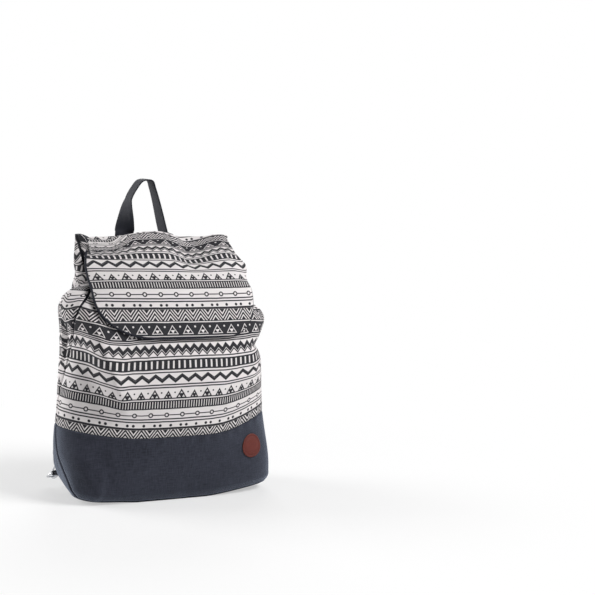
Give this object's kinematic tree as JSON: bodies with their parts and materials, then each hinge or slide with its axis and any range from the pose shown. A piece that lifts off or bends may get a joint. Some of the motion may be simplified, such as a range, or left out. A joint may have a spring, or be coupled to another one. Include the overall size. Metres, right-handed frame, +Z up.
{
  "type": "backpack",
  "caption": "Flap-top canvas backpack with a geometric stripe print over a plain grey base band, a webbing grab handle, clip-on shoulder straps and a round leather patch.",
  "frame": {"origin": "middle of the flat underside", "axes": "+Z up, -Y is the front with the flap, +X is the viewer's right"},
  "size_m": [0.3336, 0.1947, 0.4805],
  "materials": {
    "print_canvas": "cream canvas with a black stripe print",
    "grey_canvas": "dark grey mottled canvas",
    "webbing": "ribbed black webbing",
    "leather": "matt reddish brown leather",
    "metal": "bright nickel plate",
    "zip_tape": "black woven tape and nylon coil"
  },
  "bodies": {
    "root": {"back_band_panel": "grey_canvas", "back_print_panel": "print_canvas", "base_panel": "grey_canvas", "flap": "print_canvas", "flap_binding": "webbing", "front_band_panel": "grey_canvas", "front_print_panel": "print_canvas", "grab_handle": "webbing", "hook_eye_left": "metal", "hook_eye_right": "metal", "leather_patch": "leather", "lower_tab_left": "webbing", "lower_tab_right": "webbing", "shoulder_strap_left": "webbing", "shoulder_strap_right": "webbing", "upper_tab_left": "webbing", "upper_tab_right": "webbing", "zip_coil_back": "zip_tape", "zip_coil_front": "zip_tape", "zip_tape_back": "zip_tape", "zip_tape_front": "zip_tape"},
    "lower_ring_left": {"lower_ring_left": "metal"},
    "upper_ring_left": {"upper_ring_left": "metal"},
    "snap_hook_left": {"snap_hook_left": "metal"},
    "hook_gate_left": {"hook_gate_left": "metal"},
    "strap_slider_left": {"strap_slider_left": "metal"},
    "lower_ring_right": {"lower_ring_right": "metal"},
    "upper_ring_right": {"upper_ring_right": "metal"},
    "snap_hook_right": {"snap_hook_right": "metal"},
    "hook_gate_right": {"hook_gate_right": "metal"},
    "strap_slider_right": {"strap_slider_right": "metal"},
    "zip_slider": {"zip_slider": "metal"},
    "zip_puller": {"zip_puller": "metal"}
  },
  "joints": [
    {"name": "lower_ring_swing_left", "type": "hinge", "parent": "root", "child": "lower_ring_left", "pos_m": [-0.14326, 0.06082, 0.02505], "axis": [0.9221, 0.387, 0], "range_deg": [-3, 10]},
    {"name": "upper_ring_swing_left", "type": "hinge", "parent": "root", "child": "upper_ring_left", "pos_m": [-0.10729, 0.04348, 0.36], "axis": [0.9655, 0.2604, 0], "range_deg": [0, 120]},
    {"name": "hook_swivel_left", "type": "hinge", "parent": "root", "child": "snap_hook_left", "pos_m": [-0.12546, 0.08393, 0.0519], "axis": [-0.478, -0.2022, -0.8548], "range_deg": [-4, 30]},
    {"name": "gate_open_left", "type": "hinge", "parent": "snap_hook_left", "child": "hook_gate_left", "pos_m": [-0.1382, 0.08288, 0.03189], "axis": [0.7885, 0.33, -0.519], "range_deg": [-25, 0], "stiffness_Nm_per_rad": 0.004, "springref_deg": 11.46},
    {"name": "strap_slide_left", "type": "slide", "parent": "root", "child": "strap_slider_left", "axis": [-0.478, -0.2022, -0.8548], "range_m": [-0.028, 0.024]},
    {"name": "lower_ring_swing_right", "type": "hinge", "parent": "root", "child": "lower_ring_right", "pos_m": [0.14326, 0.06082, 0.02505], "axis": [0.9221, -0.387, 0], "range_deg": [-3, 10]},
    {"name": "upper_ring_swing_right", "type": "hinge", "parent": "root", "child": "upper_ring_right", "pos_m": [0.10729, 0.04348, 0.36], "axis": [0.9655, -0.2604, 0], "range_deg": [0, 120]},
    {"name": "hook_swivel_right", "type": "hinge", "parent": "root", "child": "snap_hook_right", "pos_m": [0.12546, 0.08393, 0.0519], "axis": [0.478, -0.2022, -0.8548], "range_deg": [-30, 4]},
    {"name": "gate_open_right", "type": "hinge", "parent": "snap_hook_right", "child": "hook_gate_right", "pos_m": [0.1382, 0.08288, 0.03189], "axis": [0.7885, -0.33, 0.519], "range_deg": [-25, 0], "stiffness_Nm_per_rad": 0.004, "springref_deg": 11.46},
    {"name": "strap_slide_right", "type": "slide", "parent": "root", "child": "strap_slider_right", "axis": [0.478, -0.2022, -0.8548], "range_m": [-0.028, 0.024]},
    {"name": "zip_slide", "type": "slide", "parent": "root", "child": "zip_slider", "axis": [1, 0, 0], "range_m": [0, 0.205]},
    {"name": "puller_turn", "type": "hinge", "parent": "zip_slider", "child": "zip_puller", "pos_m": [-0.1105, 0.02, 0.3569], "axis": [0, -1, 0], "range_deg": [0, 170]}
  ]
}
